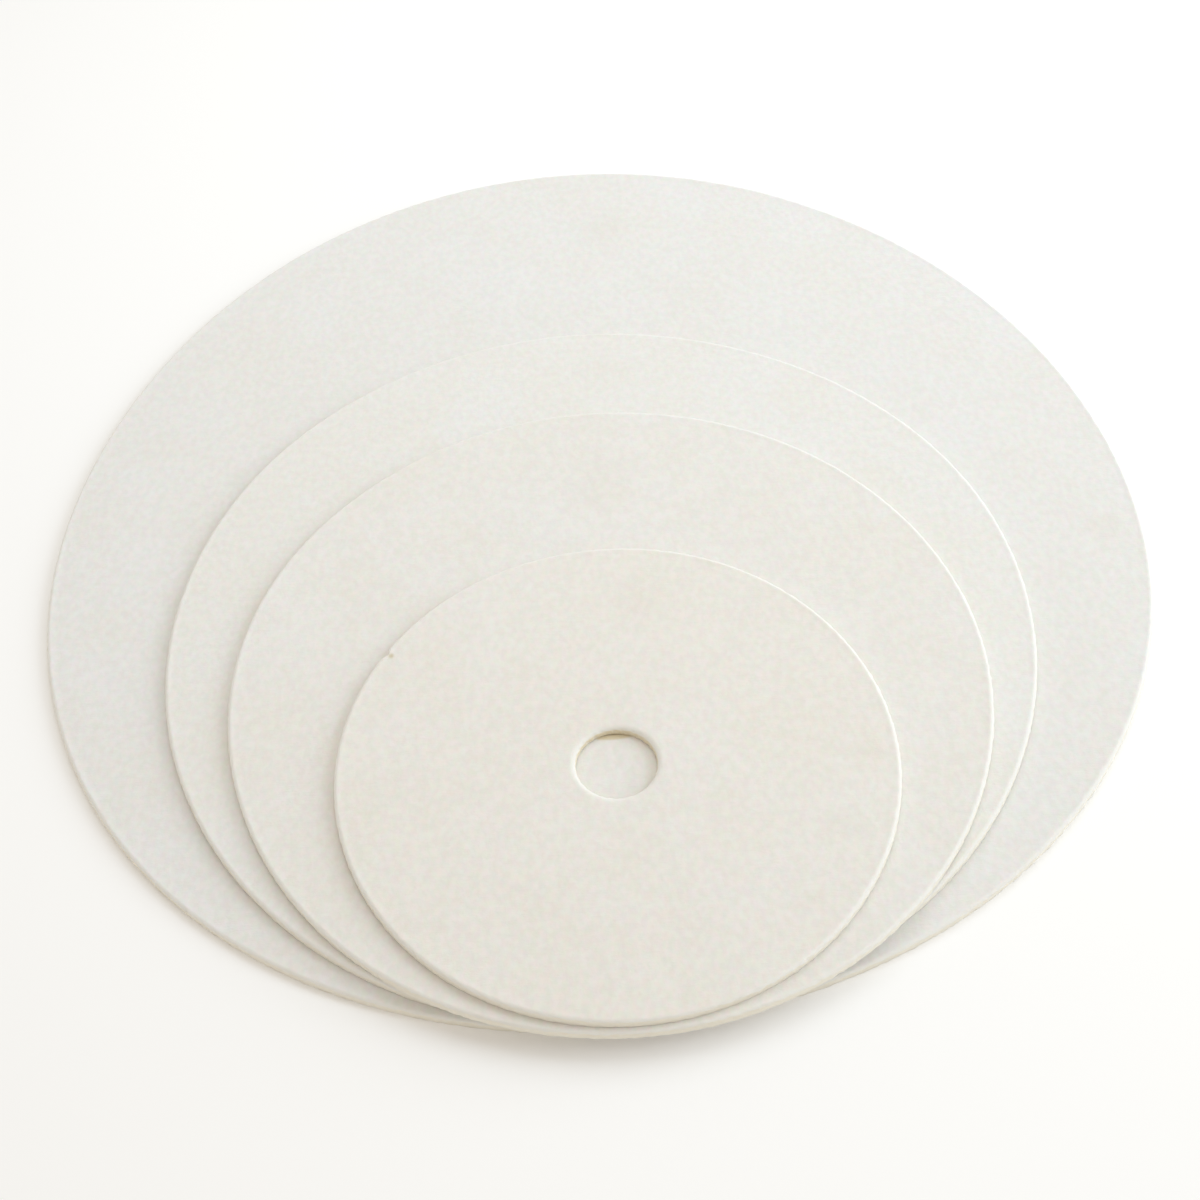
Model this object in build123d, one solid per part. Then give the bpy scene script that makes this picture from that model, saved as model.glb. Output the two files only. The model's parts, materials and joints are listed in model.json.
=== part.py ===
from build123d import *
import os

# Felt polishing wheels for lapidary work: four flat discs cut from pressed wool felt, in
# four sizes, lying in a pile with the largest at the bottom. Each wheel is one solid piece
# of felt with a plain round bore through its middle. No wheel has a hub or a backing.
#
# Frame: millimetres, +Z up, +X to the right, and the pile's front is its -Y side.
# Origin: on the axis of the largest wheel, at its underside.

# ---- Driving dimensions ----

# Outside diameters
largest_diameter = 240.0
second_diameter = 180.0
third_diameter = 154.0
smallest_diameter = 110.0

# Bores: a 16 mm spindle for the smallest wheel, a 1 inch arbor for the others
largest_bore = 25.4
second_bore = 25.4
third_bore = 25.4
smallest_bore = 16.0

# Felt thickness of each wheel
largest_thickness = 2.0
second_thickness = 2.0
third_thickness = 2.0
smallest_thickness = 2.0

# The knife leaves a soft corner all round the outside of a wheel
rim_softness = 0.4

# How the pile lies: how far each wheel's front edge reaches past the largest wheel's
# front edge (negative is behind it), and how far its axis lies to the right
second_front_reach = 0.4
third_front_reach = 3.3
smallest_front_reach = 2.3
second_sideways = -0.3
third_sideways = 1.1
smallest_sideways = 1.7

# ---- Clearances ----

# Each wheel lies flat on the one below, felt to felt
pile_gap = 0.0
# A rim's rounded corner takes at most this share of the wheel's thickness
rim_share = 0.45
# A bore's cutter runs past both faces of the felt
bore_overrun = 1.0


def felt_wheel(diameter, bore, thickness):
    """One wheel on the Z axis: a flat disc with a bore, its underside at Z = 0."""
    disc = Cylinder(diameter / 2, thickness, align=(Align.CENTER, Align.CENTER, Align.MIN))
    rims = disc.edges().filter_by(GeomType.CIRCLE)
    disc = fillet(rims, min(rim_softness, rim_share * thickness))
    cutter = Cylinder(bore / 2, thickness + 2 * bore_overrun)
    return disc - Pos(0, 0, thickness / 2) * cutter


def front_aligned(diameter, front_reach):
    """The Y of a wheel's axis that puts its front edge the given reach past the largest wheel's."""
    return diameter / 2 - largest_diameter / 2 - front_reach


# ---- The pile, from the bottom up ----

# Node, diameter, bore, thickness, sideways offset of the axis, front reach
pile = [
    ("largest_wheel", largest_diameter, largest_bore, largest_thickness, 0.0, 0.0),
    (
        "second_wheel",
        second_diameter,
        second_bore,
        second_thickness,
        second_sideways,
        second_front_reach,
    ),
    (
        "third_wheel",
        third_diameter,
        third_bore,
        third_thickness,
        third_sideways,
        third_front_reach,
    ),
    (
        "smallest_wheel",
        smallest_diameter,
        smallest_bore,
        smallest_thickness,
        smallest_sideways,
        smallest_front_reach,
    ),
]

os.makedirs("parts", exist_ok=True)
underside = 0.0
for node, diameter, bore, thickness, sideways, front_reach in pile:
    axis_y = front_aligned(diameter, front_reach)
    wheel = Pos(sideways, axis_y, underside) * felt_wheel(diameter, bore, thickness)
    export_step(wheel, f"parts/{node}.step")
    print(
        f"{node}: {diameter:g} mm across, bore {bore:g} mm, {thickness:g} mm thick,",
        f"axis at X {sideways:g}, Y {axis_y:g}, underside at Z {underside:g}",
    )
    underside = underside + thickness + pile_gap
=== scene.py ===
# %% [markdown]
# # A pile of felt polishing wheels
#
# A lapidary polishes the last, finest scratches out of a stone on felt charged with a paste. The
# wheels here are the simplest kind: discs cut from a flat sheet of pressed wool, with a bore for
# the machine's spindle. Four sizes lie in a loose pile. The hard design, which is where each wheel
# lies, how wide it is and how it lifts off, is already made and loads as a fixed frame. This
# lesson gives the felt its looks: a cut edge that is soft and a little uneven, a face that is
# pressed flat but never quite flat, wool fibres, and light that shows them.

# %% Load the frame and remember its box
import bpy
import json
import math
import numpy as np
from mathutils import Matrix, Vector


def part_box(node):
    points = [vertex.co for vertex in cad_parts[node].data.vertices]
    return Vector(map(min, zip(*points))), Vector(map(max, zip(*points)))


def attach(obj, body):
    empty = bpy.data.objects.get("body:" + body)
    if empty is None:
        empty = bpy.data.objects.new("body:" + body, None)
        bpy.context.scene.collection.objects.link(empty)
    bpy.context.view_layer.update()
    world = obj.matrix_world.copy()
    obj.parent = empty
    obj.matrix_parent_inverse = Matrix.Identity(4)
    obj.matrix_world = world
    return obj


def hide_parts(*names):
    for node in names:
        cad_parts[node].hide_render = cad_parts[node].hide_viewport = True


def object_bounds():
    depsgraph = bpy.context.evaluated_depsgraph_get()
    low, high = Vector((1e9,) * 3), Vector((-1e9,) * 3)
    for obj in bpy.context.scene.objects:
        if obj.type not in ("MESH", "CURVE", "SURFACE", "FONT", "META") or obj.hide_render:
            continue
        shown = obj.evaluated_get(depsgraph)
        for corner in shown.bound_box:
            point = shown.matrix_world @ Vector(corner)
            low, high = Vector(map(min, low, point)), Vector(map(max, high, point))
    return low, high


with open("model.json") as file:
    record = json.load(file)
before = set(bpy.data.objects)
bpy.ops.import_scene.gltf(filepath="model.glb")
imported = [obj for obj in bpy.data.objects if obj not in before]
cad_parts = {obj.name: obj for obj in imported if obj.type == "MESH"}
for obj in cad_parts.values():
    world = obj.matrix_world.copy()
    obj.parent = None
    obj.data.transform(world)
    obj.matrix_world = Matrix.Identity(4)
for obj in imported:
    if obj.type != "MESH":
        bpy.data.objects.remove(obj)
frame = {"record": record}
cad_low, cad_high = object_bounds()
MM = 0.001
print("pile, mm:", [round((high - low) / MM, 1) for low, high in zip(cad_low, cad_high)])

# %% [markdown]
# ## Measure each wheel from the frame
#
# A wheel is known by six numbers: the two of its centre, its outside radius, bore radius,
# underside and thickness. All of them can be read from the frame, so nothing is typed twice. The
# bore's radius comes from the record's mounts, because a bounding box can't see a hole. The wheels
# are kept from the bottom of the pile to the top.

# %% Read the wheels' sizes
PILE = ["largest_wheel", "second_wheel", "third_wheel", "smallest_wheel"]
mounts = frame["record"]["mounts"]
bores = {m["name"]: m["dims"]["r_mm"] * MM for m in mounts if m["kind"] == "bore"}


def measure(node):
    """The sizes of one wheel, in metres."""
    lowest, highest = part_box(node)
    centre = (lowest + highest) / 2
    return {
        "x": centre.x,
        "y": centre.y,
        "radius": (highest.x - lowest.x) / 2,
        "bore": bores[node + "_bore"],
        "foot": lowest.z,
        "thick": highest.z - lowest.z,
    }


wheels = {node: measure(node) for node in PILE}
for node, sizes in wheels.items():
    print(node, {key: round(value / MM, 2) for key, value in sizes.items()})

# %% [markdown]
# ## A smooth random field
#
# Felt is pressed from loose wool, so its face rises and falls by a few hundredths of a
# millimetre. A noise texture could push the points about, but a sum of plane waves does the same
# in a few lines of numpy. It gives the same answer on every run because it is seeded, and its
# wavelength is a real length in metres.

# %% A field of plane waves
def rolling(x, y, wavelength, seed, waves=18):
    """A smooth random height of about unit strength at each (x, y)."""
    draw = np.random.default_rng(seed)
    headings = draw.uniform(0, 2 * np.pi, waves)
    lengths = wavelength * draw.uniform(0.7, 1.5, waves)
    phases = draw.uniform(0, 2 * np.pi, waves)
    height = np.zeros(np.broadcast(x, y).shape)
    for heading, length, phase in zip(headings, lengths, phases):
        along = x * np.cos(heading) + y * np.sin(heading)
        height += np.cos(2 * np.pi * along / length + phase)
    return height / math.sqrt(waves / 2)


sample = rolling(np.array([0.0, 0.01, 0.02]), np.zeros(3), 0.02, seed=1)
print("field, a few heights:", sample.round(2))

# %% [markdown]
# ## The section of a wheel
#
# A wheel is a section turned about its axis. The section is walked from the foot of the bore up
# its wall, out over the face, round the soft corner that the knife leaves, down the cut edge and
# back under the wheel. A primitive cylinder with a bevel would have the same outline, but its face
# would be one flat polygon with no points to roll. Here rings lie close together at the corners,
# where the shape bends, and far apart on the flats.

# %% Rings over a flat face
RING_GROWTH = 1.3


def face_rings(inner, outer, fine, coarse):
    """Radii from inner to outer, close together at both ends and up to coarse apart between."""
    steps = [fine]
    while sum(steps) < (outer - inner) / 2:
        steps.append(min(steps[-1] * RING_GROWTH, coarse))
    half = np.cumsum(steps)
    half = half / half[-1] * (outer - inner) / 2
    return np.concatenate([[inner], inner + half, outer - half[-2::-1], [outer]])


print("rings over 20 mm of face:", len(face_rings(0.0, 20 * MM, 0.35 * MM, 1.6 * MM)))

# %% Points round a corner
def corner(r, z, wide, deep, start, end, count):
    """Points on a corner's arc about (r, z), wide across and deep down, start to end in degrees."""
    angles = [math.radians(a) for a in np.linspace(start, end, count)]
    return [(r + wide * math.cos(a), z + deep * math.sin(a)) for a in angles]


quarter = corner(0, 0, 1, 1, 90, 0, 3)
print("a round corner's points:", [(round(a, 2), round(b, 2)) for a, b in quarter])

# %% [markdown]
# ## Corners and bores
#
# A knife leaves the rim's upper corner soft and its lower corner nearly square, since the bench
# holds the felt there. The bore is punched, and the spindle rounds its mouth. The three larger
# wheels go on a thicker arbor: their mouths are wide and shallow, and the felt has swollen a little
# into the bore. A corner is part of an oval, so it can be wider than it is deep.

# %% The whole section
RIM_CORNER, FOOT_CORNER = 0.75 * MM, 0.1 * MM
SMALL_MOUTH, LARGE_MOUTH = (1.2 * MM, 1.0 * MM), (1.7 * MM, 0.55 * MM)
LARGE_SWELL = 0.4 * MM
FINEST_RING = 0.35 * MM


def section(wheel, mouth, coarse):
    """The wheel's section as rings (radius, height above the underside), once round."""
    inner, outer, top = wheel["bore"], wheel["radius"], wheel["thick"]
    wide, deep = mouth
    rim, foot = RIM_CORNER, FOOT_CORNER
    walk = [(inner, z) for z in np.linspace(foot, top - deep, 5)]
    walk += corner(inner + wide, top - deep, wide, deep, 180, 90, 8)[1:]
    face = face_rings(inner + wide, outer - rim, FINEST_RING, coarse)
    walk += [(r, top) for r in face[1:-1]]
    walk += corner(outer - rim, top - rim, rim, rim, 90, 0, 8)
    walk += [(outer, z) for z in np.linspace(top - rim, foot, 5)[1:-1]]
    walk += corner(outer - foot, foot, foot, foot, 0, -90, 5)
    under = face_rings(inner + foot, outer - foot, 2 * FINEST_RING, 4 * coarse)
    walk += [(r, 0.0) for r in under[-2:0:-1]]
    walk += corner(inner + foot, foot, foot, foot, -90, -180, 4)[:-1]
    return np.array(walk)


smallest_section = section(wheels["smallest_wheel"], SMALL_MOUTH, 1.6 * MM)
print("rings round the smallest wheel's section:", len(smallest_section))

# %% [markdown]
# ## Turn a section into a mesh
#
# The turned section is a grid of points: one row for each ring of the section and one column for
# each direction. Both ways round the grid closes on itself, so the mesh is a closed ring like a
# tyre, with no seam and no cap. Blender's Screw modifier could turn the section too, but then every
# direction would be the same. A grid of points can be pushed about before it becomes a mesh.

# %% A closed mesh from a grid of points
def ring_mesh(name, points):
    """A closed mesh from points[ring][step], joined round the axis and round the section."""
    rings, steps = points.shape[:2]
    ring = np.arange(rings)[:, None]
    step = np.arange(steps)[None, :]
    next_ring, next_step = (ring + 1) % rings, (step + 1) % steps
    corners = np.broadcast_arrays(
        ring * steps + step,
        next_ring * steps + step,
        next_ring * steps + next_step,
        ring * steps + next_step,
    )
    faces = np.stack(corners, axis=-1).reshape(-1, 4)
    mesh = bpy.data.meshes.new(name)
    mesh.vertices.add(rings * steps)
    mesh.vertices.foreach_set("co", points.reshape(-1).astype(np.float32))
    mesh.loops.add(faces.size)
    mesh.loops.foreach_set("vertex_index", faces.reshape(-1).astype(np.int32))
    mesh.polygons.add(len(faces))
    mesh.polygons.foreach_set("loop_start", np.arange(0, faces.size, 4, dtype=np.int32))
    mesh.update(calc_edges=True)
    mesh.polygons.foreach_set("use_smooth", np.ones(len(faces), bool))
    piece = bpy.data.objects.new(name, mesh)
    bpy.context.scene.collection.objects.link(piece)
    return piece


print("mesh builder ready")

# %% [markdown]
# ## The outline and the cut edge
#
# A perfect disc looks like plastic. A felt wheel is cut by hand round a template, so its outline
# wanders by a tenth or two of a millimetre, and the knife tears the wool, so its edge is rough. The
# largest wheel is a little out of round: a wave with two lobes and one with three add up at its
# back, where it reaches a few millimetres further, and cancel at its front. The smallest wheel has
# a nick in its rim.

# %% How far the rim strays
SPREAD = 0.25 * MM
ROUND_WAVE = 1.3


def outline(turn, wander, lobes, seed):
    """How far the rim stands outside the design's circle, for each direction turn."""
    stray = SPREAD + wander * rolling(np.cos(turn), np.sin(turn), ROUND_WAVE, seed)
    for count, rise, toward in lobes:
        stray = stray + rise * np.cos(count * (turn - math.radians(toward)))
    return stray


circle = np.linspace(0, 2 * np.pi, 90)
print("an outline strays, mm:", np.ptp(outline(circle, 0.2 * MM, (), 5) / MM).round(2))

# %% How rough the edge is
TEARS = [(0.045 * MM, 2.2 * MM, 3), (0.03 * MM, 0.9 * MM, 1)]
TRIM = 0.05 * MM


def torn_edge(turn, radius, z, seed):
    """The knife's tearing along the edge: coarse tears and fine ones, less a trim."""
    along = turn * radius
    torn = -TRIM
    for number, (depth, span, slant) in enumerate(TEARS):
        torn = torn + depth * rolling(along, slant * z, span, seed + 1 + number)
    return torn


print("tears, mm:", [depth / MM for depth, span, slant in TEARS])

# %% A nick in the rim
def nick(turn, radius, toward, width, depth):
    """A small bite out of the rim in the direction toward, in degrees."""
    away = (turn - math.radians(toward) + math.pi) % (2 * math.pi) - math.pi
    return depth * np.exp(-((away * radius / width) ** 2))


print("a nick's depth at its middle, mm:", nick(0.0, 55 * MM, 0, 0.9 * MM, 0.8 * MM) / MM)

# %% [markdown]
# ## The face
#
# The press leaves the face flat, but the wool under it isn't even: the face rolls over a few
# centimetres, with a finer grain on top, and only ever sinks, so that no wheel cuts into the one
# that lies on it. The knife's pull raises a low lip just inside the rim. At the front, where wheels
# lie on wheels, the lip is pressed flat.

# %% How high the face stands
ROLL_DEPTH, ROLL_SPAN = 0.09 * MM, 38 * MM
GRAIN_DEPTH, GRAIN_SPAN = 0.02 * MM, 6 * MM
LIP_RISE, LIP_INSET, LIP_WIDTH = 0.08 * MM, 0.75 * MM, 0.42 * MM
PRESSED = math.radians(38)


def face_height(x, y, r, turn, radius, seed):
    """The face's height over the pressed plane at each point."""
    roll = np.clip(0.5 - 0.22 * rolling(x, y, ROLL_SPAN, seed + 4), 0, 1)
    grain = np.clip(0.5 - 0.22 * rolling(x, y, GRAIN_SPAN, seed + 5), 0, 1)
    from_front = (turn + math.pi / 2 + math.pi) % (2 * math.pi) - math.pi
    free = 1 - np.exp(-((from_front / PRESSED) ** 2))
    lip = LIP_RISE * free * np.exp(-(((radius - r - LIP_INSET) / LIP_WIDTH) ** 2))
    return lip - ROLL_DEPTH * roll - GRAIN_DEPTH * grain


print("the face sinks by up to, mm:", round((ROLL_DEPTH + GRAIN_DEPTH) / MM, 2))

# %% [markdown]
# ## One wheel
#
# Each point of the turned section belongs more or less to the cut edge, the bore's wall and the
# face. These three shares fade into each other over a millimetre or two, so each departure acts
# only where it should and nothing creases.

# %% Build one wheel's felt
EDGE_REACH, WALL_REACH = 2.5 * MM, 1.5 * MM
WALL_DEPTH, WALL_SPAN = 0.03 * MM, 1.6 * MM


def felt_wheel(name, wheel, seed, arc, mouth, swell, wander, lobes, notch):
    """One wheel of felt. arc is the point spacing round the rim, swell how far the felt has grown
    into the bore, wander how far the outline strays at random, lobes are (count, height, direction
    in degrees) of its slow waves, and notch is (direction in degrees, width, depth) of a nick."""
    wheel = dict(wheel, bore=wheel["bore"] - swell)
    profile = section(wheel, mouth, 1.7 * arc)
    r, z = profile[:, :1], profile[:, 1:]
    top, radius, bore = wheel["thick"], wheel["radius"], wheel["bore"]
    turn = np.linspace(0, 2 * np.pi, int(2 * math.pi * radius / arc), endpoint=False)
    # the shares of the cut edge, the bore's wall and the upper face
    edge = np.clip(1 - (radius - r) / EDGE_REACH, 0, 1) ** 2
    wall = np.clip(1 - (r - bore) / WALL_REACH, 0, 1) ** 2
    face = np.clip((z - 0.6 * top) / (0.4 * top), 0, 1)
    # outwards: the outline pulls the whole disc, the tears only the edge and the wall
    grown = r + outline(turn, wander, lobes, seed) * (r / radius) ** 2
    grown = grown + torn_edge(turn, radius, z, seed) * edge
    grown = grown + WALL_DEPTH * wall * rolling(turn * bore, 2 * z, WALL_SPAN, seed + 3)
    if notch:
        grown = grown - edge * nick(turn, radius, *notch)
    # upwards: only the face rolls
    x, y = grown * np.cos(turn), grown * np.sin(turn)
    height = wheel["foot"] + z + face * face_height(x, y, r, turn, radius, seed)
    points = np.stack([wheel["x"] + x, wheel["y"] + y, height + 0 * x], axis=-1)
    return ring_mesh(name, points)


print("wheel builder ready")

# %% Build the pile
SPACING = {"largest_wheel": 1.0, "second_wheel": 0.85, "third_wheel": 0.75, "smallest_wheel": 0.6}
WANDER = {"largest_wheel": 0.2, "second_wheel": 0.18, "third_wheel": 0.15, "smallest_wheel": 0.12}
LOBES = {"largest_wheel": [(2, 1.75 * MM, 88), (3, 1.85 * MM, 93)]}
NOTCH = {"smallest_wheel": (146.5, 0.9 * MM, 0.8 * MM)}
pieces = {}
for number, (node, sizes) in enumerate(wheels.items()):
    is_small = node == "smallest_wheel"
    pieces[node] = felt_wheel(
        node + "_felt",
        sizes,
        seed=10 * number + 5,
        arc=SPACING[node] * MM,
        mouth=SMALL_MOUTH if is_small else LARGE_MOUTH,
        swell=0.0 if is_small else LARGE_SWELL,
        wander=WANDER[node] * MM,
        lobes=LOBES.get(node, ()),
        notch=NOTCH.get(node),
    )
    print(node, "faces:", len(pieces[node].data.polygons))

# %% [markdown]
# ## Nodes in short calls
#
# A material is a tree of nodes, and wiring one by hand takes several lines of Python for each
# node. A small helper class makes each node one short call, so the material below reads like a
# recipe.

# %% Small helpers for a node tree
class Tree:
    """A material's nodes, with short calls that add one node and wire its inputs."""

    def __init__(self, name):
        self.material = bpy.data.materials.new(name)
        self.material.use_nodes = True
        self.nodes = self.material.node_tree.nodes
        self.links = self.material.node_tree.links
        self.shader = self.nodes["Principled BSDF"]

    def add(self, kind, settings=None, **inputs):
        node = self.nodes.new("ShaderNode" + kind)
        for key, value in (settings or {}).items():
            setattr(node, key, value)
        for key, value in inputs.items():
            socket = int(key[2:]) if key.startswith("in") else key.replace("_", " ")
            self.put(node, socket, value)
        return node

    def put(self, node, socket, value):
        if isinstance(value, bpy.types.NodeSocket):
            self.links.new(value, node.inputs[socket])
        else:
            node.inputs[socket].default_value = value

    def math(self, operation, a, b=0.0):
        return self.add("Math", {"operation": operation}, in0=a, in1=b).outputs[0]

    def vector(self, operation, a, b):
        return self.add("VectorMath", {"operation": operation}, in0=a, in1=b)

    def noise(self, place, scale, detail=2.0, rough=0.5):
        node = self.add("TexNoise", Vector=place, Scale=scale, Detail=detail, Roughness=rough)
        return node.outputs[0]

    def remap(self, value, low, high, to_low=0.0, to_high=1.0):
        node = self.add("MapRange", {"interpolation_type": "SMOOTHSTEP"})
        for socket, amount in enumerate((value, low, high, to_low, to_high)):
            self.put(node, socket, amount)
        return node.outputs[0]

    def blend(self, share, a, b, mode="MIX"):
        node = self.add("Mix", {"data_type": "RGBA", "blend_type": mode})
        self.put(node, 0, share)
        self.put(node, 6, a)
        self.put(node, 7, b)
        return node.outputs[2]


print("tree helper ready")

# %% [markdown]
# ## The wool's fibres
#
# Seen close, white wool felt is a mat of short fibres that cross every way. A particle system of
# hairs would be heavy and hard to press flat. Noise stretched along three directions and laid over
# itself gives the same crossing strands, as relief that light can catch.

# %% Crossing fibres
LAYS = (12, 74, 131)
STRAND = (1.0, 4.5, 1.5)


def fibres(tree, place):
    """Strands that run three ways, the highest on top."""
    strands = []
    for heading in LAYS:
        lay = tree.add("Mapping", Vector=place)
        lay.inputs["Rotation"].default_value = (0, 0, math.radians(heading))
        lay.inputs["Scale"].default_value = STRAND
        strands.append(tree.noise(lay.outputs[0], 330, 3.0, 0.6))
    return tree.math("MAXIMUM", tree.math("MAXIMUM", strands[0], strands[1]), strands[2])


print("fibres lie at", LAYS, "degrees")

# %% [markdown]
# ## The wool's colour
#
# A step back, the felt is a soft off-white with slow cream clouds. Closer, single fibres are a
# little lighter or darker, pinker or greener, creamier or bluer than the rest. Three fine noises
# tint the colour by two or three parts in a hundred each: more would look like stone.

# %% Clouds and fine tints
PINK, GREEN = (1.02, 0.985, 0.995, 1), (0.98, 1.012, 0.985, 1)
CREAM, BLUE = (1.0, 1.0, 0.98, 1), (1.0, 1.0, 1.02, 1)


def wool_colour(tree, place, close, mottle, tone, warm):
    """Off-white with cream clouds, then tinted fibre by fibre."""
    clouds = tree.noise(place, 55, 3.0, 0.5)
    broad = tree.noise(place, 14, 2.0, 0.5)
    colour = tree.blend(tree.remap(clouds, 0.35, 0.7), tone, warm)
    colour = tree.blend(tree.remap(broad, 0.4, 0.65, 0.0, 0.5), colour, warm)
    light = tree.remap(mottle, 0.25, 0.75, 0.965, 1.025)
    grey = tree.add("CombineColor", in0=light, in1=light, in2=light).outputs[0]
    colour = tree.blend(1.0, colour, grey, "MULTIPLY")
    hue = tree.noise(close, 800, 1.0)
    tint = tree.blend(tree.remap(hue, 0.3, 0.7), PINK, GREEN)
    colour = tree.blend(1.0, colour, tint, "MULTIPLY")
    aside = tree.vector("ADD", close, (3.1, 3.1, 3.1)).outputs[0]
    tint = tree.blend(tree.remap(tree.noise(aside, 600, 1.0), 0.3, 0.7), CREAM, BLUE)
    return tree.blend(1.0, colour, tint, "MULTIPLY")


print("tints:", PINK[:3], GREEN[:3], CREAM[:3], BLUE[:3])

# %% [markdown]
# ## Corner, edge, bore and marks
#
# Round the corner the knife lifts fine white wool, and the whiter band there is partly a painted
# highlight: the bright line along each rim. The edge below it shows the creamier wool inside the
# sheet, and its cream is partly painted warm shade. Which is which follows from how steep the
# surface is. The yellow-brown ring round the bore is painted warm shade on the bore's wall and
# mouth. Fingers have left a few faint marks with ragged borders, and one dark mark is painted shade
# in the nick. Those have a place, so they follow from the distance to it.

# %% Colour by steepness
# Whiter wool with a painted highlight at the rim's corner, and cream wool with painted warm shade
# on the upright edge.
CORNER_WOOL_AND_HIGHLIGHT = (0.80, 0.79, 0.75, 1)
EDGE_WOOL_AND_SHADE = (0.82, 0.78, 0.67, 1)


def edge_wool_and_painted_light(tree, colour):
    """Whiter wool and a painted highlight where the face turns down, cream wool and painted warm
    shade on the upright edge.
    """
    normal = tree.add("TexCoord").outputs["Normal"]
    level = tree.math("ABSOLUTE", tree.add("SeparateXYZ", in0=normal).outputs["Z"])
    # Whiter wool round the corner, partly a painted highlight along the rim.
    colour = tree.blend(tree.remap(level, 0.985, 0.88, 0.0, 0.8), colour, CORNER_WOOL_AND_HIGHLIGHT)
    # Cream on the upright edge, partly the wool inside the sheet and partly painted warm shade.
    return tree.blend(tree.remap(level, 0.65, 0.15, 0.0, 0.9), colour, EDGE_WOOL_AND_SHADE)


print("edge tone:", EDGE_WOOL_AND_SHADE[:3])

# %% Colour by place
# Painted warm shade in and round the bore.
BORE_SHADE_TONE = (0.70, 0.61, 0.42, 1)
# Faint stains, and painted shade in the nick.
MARK_AND_NICK_SHADE_TONE = (0.60, 0.53, 0.38, 1)


def distance_from(tree, x, y):
    """How far each point is from the upright line through (x, y)."""
    spot = tree.add("TexCoord").outputs["Object"]
    flat = tree.vector("MULTIPLY", spot, (1, 1, 0)).outputs[0]
    return tree.vector("DISTANCE", flat, (x, y, 0)).outputs["Value"]


def painted_bore_shade(tree, colour, ring):
    """A ring of painted warm shade round the bore."""
    x, y, reach, soft = ring
    share = tree.remap(distance_from(tree, x, y), reach + soft, reach - soft, 0.0, 0.85)
    return tree.blend(share, colour, BORE_SHADE_TONE)


def marks_and_nick_shade(tree, colour, marks):
    """Round marks with ragged borders, a little yellower than the wool: faint stains, and painted
    shade where a mark sits in the nick.
    """
    for x, y, reach, strength in marks:
        ragged = tree.noise(tree.add("TexCoord").outputs["Object"], 160, 3.0, 0.6)
        ragged = tree.math("MULTIPLY", ragged, 0.9 * reach)
        away = tree.math("ADD", distance_from(tree, x, y), ragged)
        share = tree.remap(away, 1.5 * reach, 0.4 * reach, 0.0, strength)
        colour = tree.blend(share, colour, MARK_AND_NICK_SHADE_TONE)
    return colour


print("bore and mark tones:", BORE_SHADE_TONE[:3], MARK_AND_NICK_SHADE_TONE[:3])

# %% [markdown]
# ## The whole material
#
# The colour goes to the shader, and the fibres, small lumps and mottle together drive its bump. The
# felt is fully matt. A little sheen stands for the lit fuzz that stands off the face, and a little
# subsurface light for the way loose wool glows at a thin edge.

# %% The felt
BUMP_STRENGTH, BUMP_DEPTH = 0.35, 0.3 * MM
SOAK_DEPTH = 1.3 * MM


def relief(tree, place, mottle):
    """The height that drives the bump: fibres over small lumps."""
    lumps = tree.noise(place, 260)
    height = tree.math("MULTIPLY", fibres(tree, place), 0.6)
    height = tree.math("ADD", height, tree.math("MULTIPLY", lumps, 0.6))
    return tree.math("ADD", height, tree.math("MULTIPLY", mottle, 0.5))


def felt(name, tone, warm, ring, marks, offset):
    """A felt material. tone is its colour and warm its cream colour. ring is (x, y, radius,
    softness) of the painted shade round the bore, and marks are (x, y, radius, strength) of faint
    stains and of painted shade in a nick, in metres."""
    tree = Tree(name)
    place = tree.vector("ADD", tree.add("TexCoord").outputs["Object"], offset).outputs[0]
    close = tree.vector("MULTIPLY", place, (1.15, 0.85, 1.0)).outputs[0]
    mottle = tree.noise(close, 640, 3.0, 0.55)
    colour = wool_colour(tree, place, close, mottle, tone, warm)
    # Painted highlight along the rim corners and painted warm shade on the upright edges, over the
    # edge's own wool.
    colour = edge_wool_and_painted_light(tree, colour)
    # Painted warm shade round the bore.
    colour = painted_bore_shade(tree, colour, ring)
    # Faint stains, and painted shade in the nick.
    colour = marks_and_nick_shade(tree, colour, marks)
    height = relief(tree, place, mottle)
    bump = tree.add("Bump", Strength=BUMP_STRENGTH, Distance=BUMP_DEPTH, Height=height)
    shader = tree.shader
    tree.put(shader, "Base Color", colour)
    tree.put(shader, "Normal", bump.outputs[0])
    tree.put(shader, "Roughness", tree.remap(mottle, 0.2, 0.8, 0.88, 1.0))
    shader.inputs["Specular IOR Level"].default_value = 0.25
    shader.inputs["Sheen Weight"].default_value = 0.12
    shader.inputs["Sheen Roughness"].default_value = 0.6
    shader.inputs["Subsurface Weight"].default_value = 0.5
    shader.inputs["Subsurface Radius"].default_value = (0.85, 0.92, 1.0)
    shader.inputs["Subsurface Scale"].default_value = SOAK_DEPTH
    return tree.material


print("felt recipe ready")

# %% [markdown]
# ## Four felts
#
# No two sheets of felt have quite the same white. The largest wheel is the coolest and the smallest
# the creamiest. The differences are small, but they keep one wheel apart from the next where their
# edges catch no light. The marks are (x, y, radius, strength), in millimetres, and the last one is
# painted shade in the nick. A shift of the noise gives each wheel its own clouds.

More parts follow.
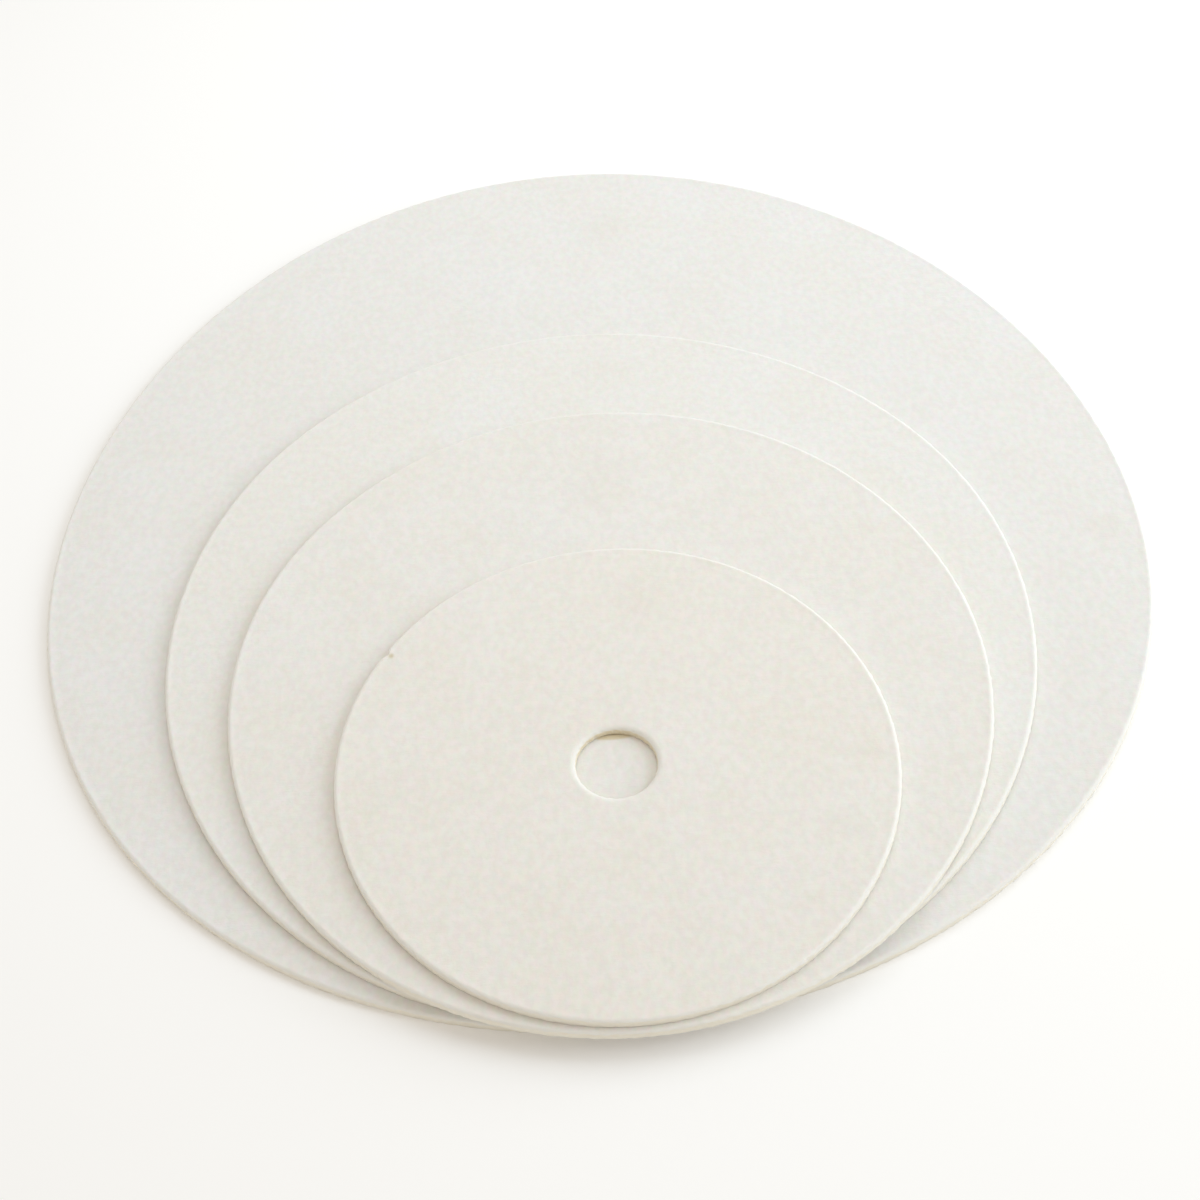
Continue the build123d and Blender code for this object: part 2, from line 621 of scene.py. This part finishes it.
# %% Tones, bores and marks
FELTS = {
    "largest_wheel": ((0.785, 0.781, 0.772, 1), (0.780, 0.769, 0.743, 1)),
    "second_wheel": ((0.797, 0.791, 0.773, 1), (0.791, 0.777, 0.742, 1)),
    "third_wheel": ((0.795, 0.782, 0.757, 1), (0.789, 0.769, 0.729, 1)),
    "smallest_wheel": ((0.800, 0.780, 0.746, 1), (0.794, 0.768, 0.720, 1)),
}
MARKS = {
    "largest_wheel": [(6, 100, 9, 0.10), (110, -9, 6, 0.12)],
    "second_wheel": [(4, 47, 8, 0.08)],
    "third_wheel": [(2, 10, 13, 0.10)],
    "smallest_wheel": [
        (9, -27, 9, 0.08),
        (51, -68, 5, 0.10),
        (45, -84, 5, 0.08),
        # Painted shade in the nick.
        (-43, -37.8, 0.9, 0.9),
    ],
}
# How far the painted shade round the bore reaches and how soft it is: just the wall on the smallest
# wheel, a wider ring on the others.
SMALL_BORE_SHADE, LARGE_BORE_SHADE = (0.04 * MM, 0.1 * MM), (1.6 * MM, 0.3 * MM)
print("tones:", {node: tone[:3] for node, (tone, warm) in FELTS.items()})

# %% Give each wheel its felt
for number, (node, (tone, warm)) in enumerate(FELTS.items()):
    marks = [(x * MM, y * MM, reach * MM, strength) for x, y, reach, strength in MARKS[node]]
    shift = (0.37 * number, 0.21 * number, 0.11 * number)
    sizes = wheels[node]
    # The ring of painted shade round the bore.
    reach, soft = SMALL_BORE_SHADE if node == "smallest_wheel" else LARGE_BORE_SHADE
    ring = (sizes["x"], sizes["y"], sizes["bore"] + reach, soft)
    wool = felt(node + "_wool", tone, warm, ring, marks, shift)
    pieces[node].data.materials.append(wool)
    print(wool.name, "has", len(wool.node_tree.nodes), "nodes")

# %% [markdown]
# ## Join the felt to the frame
#
# Each felt wheel stands for one node of the frame and rides on that node's body, so it lifts when
# the body lifts.

# %% Ride and replace
for beneath, (node, sizes) in zip([None] + PILE, wheels.items()):
    piece = pieces[node]
    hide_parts(node)
    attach(piece, node)

# %% [markdown]
# ## Floor and sky
#
# The floor is pale and plain, so nothing competes with the felt. An even sky fills all the shade.
# It is a little warm, which turns the crevices between the wheels cream instead of grey, as light
# does that has bounced between wool and wool.

# %% A pale floor and a warm sky
SKY_COLOUR, SKY_STRENGTH = (1.0, 0.93, 0.84, 1), 0.70
bpy.ops.mesh.primitive_plane_add(size=12, location=(0, 0, cad_low.z))
floor = bpy.context.object
floor.name = "floor"
paint = Tree("pale_floor")
paint.shader.inputs["Base Color"].default_value = (0.97, 0.97, 0.97, 1)
paint.shader.inputs["Roughness"].default_value = 0.9
paint.shader.inputs["Specular IOR Level"].default_value = 0.1
floor.data.materials.append(paint.material)
sky = bpy.data.worlds.new("soft_sky")
sky.use_nodes = True
sky.node_tree.nodes["Background"].inputs["Color"].default_value = SKY_COLOUR
sky.node_tree.nodes["Background"].inputs["Strength"].default_value = SKY_STRENGTH
bpy.context.scene.world = sky
print("sky strength:", SKY_STRENGTH)

# %% [markdown]
# ## Lamps
#
# White felt on a white ground needs light with a direction, or its edges vanish. One wide lamp
# stands low on the right, like a window: each edge on that side catches it, and each edge on the
# left throws a soft shadow as wide as a few thicknesses of felt. A weaker lamp high at the back
# lifts the far half of the pile. Both are a little blue, to balance the warm sky.

# %% Two soft lamps
LAMP_COLOUR = (0.80, 0.91, 1.0)


def lamp(name, azimuth, elevation, distance, size, power):
    """A round lamp aimed at the pile, azimuth from +X towards +Y, in degrees."""
    a, e = math.radians(azimuth), math.radians(elevation)
    away = Vector((math.cos(a) * math.cos(e), math.sin(a) * math.cos(e), math.sin(e)))
    light = bpy.data.lights.new(name, "AREA")
    light.shape = "DISK"
    light.size = size
    light.energy = power
    light.color = LAMP_COLOUR
    stand = bpy.data.objects.new(name, light)
    stand.location = away * distance
    stand.rotation_euler = away.to_track_quat("Z", "Y").to_euler()
    bpy.context.scene.collection.objects.link(stand)
    return stand


window = lamp("window_light", azimuth=8, elevation=27, distance=1.1, size=0.95, power=7.3)
back = lamp("back_light", azimuth=85, elevation=65, distance=0.5, size=0.4, power=0.62)
print("lamps at", [[round(v, 2) for v in stand.location] for stand in (window, back)])

# %% [markdown]
# ## Camera
#
# The pile is seen from the front, from less than forty centimetres away, looking down at about
# fifty degrees, with the camera tipped a few degrees to one side. So close, the wheels' circles
# become clearly different ovals. The camera's axes are built from the view: forward, across and
# down.

# %% Place the camera
LOOK_DOWN, TIP = math.radians(50.6), math.radians(3.44)
DISTANCE, LENS, SENSOR = 0.3857, 55.5, 36
aim = Vector((0.0004, -0.0264, cad_high.z))
forward = Vector((0, math.cos(LOOK_DOWN), -math.sin(LOOK_DOWN)))
level_right = Vector((1, 0, 0))
level_down = forward.cross(level_right)
across = level_right * math.cos(TIP) + level_down * math.sin(TIP)
down = level_down * math.cos(TIP) - level_right * math.sin(TIP)
camera = bpy.data.cameras.new("camera")
camera.lens = LENS
camera.sensor_width = SENSOR
camera.clip_start = 0.01
tripod = bpy.data.objects.new("camera", camera)
axes = Matrix((across, -down, -forward)).transposed()
tripod.matrix_world = Matrix.Translation(aim - forward * DISTANCE) @ axes.to_4x4()
bpy.context.scene.collection.objects.link(tripod)
bpy.context.scene.camera = tripod
bpy.context.scene.view_settings.view_transform = "Standard"
print("camera at", [round(v, 3) for v in tripod.location])
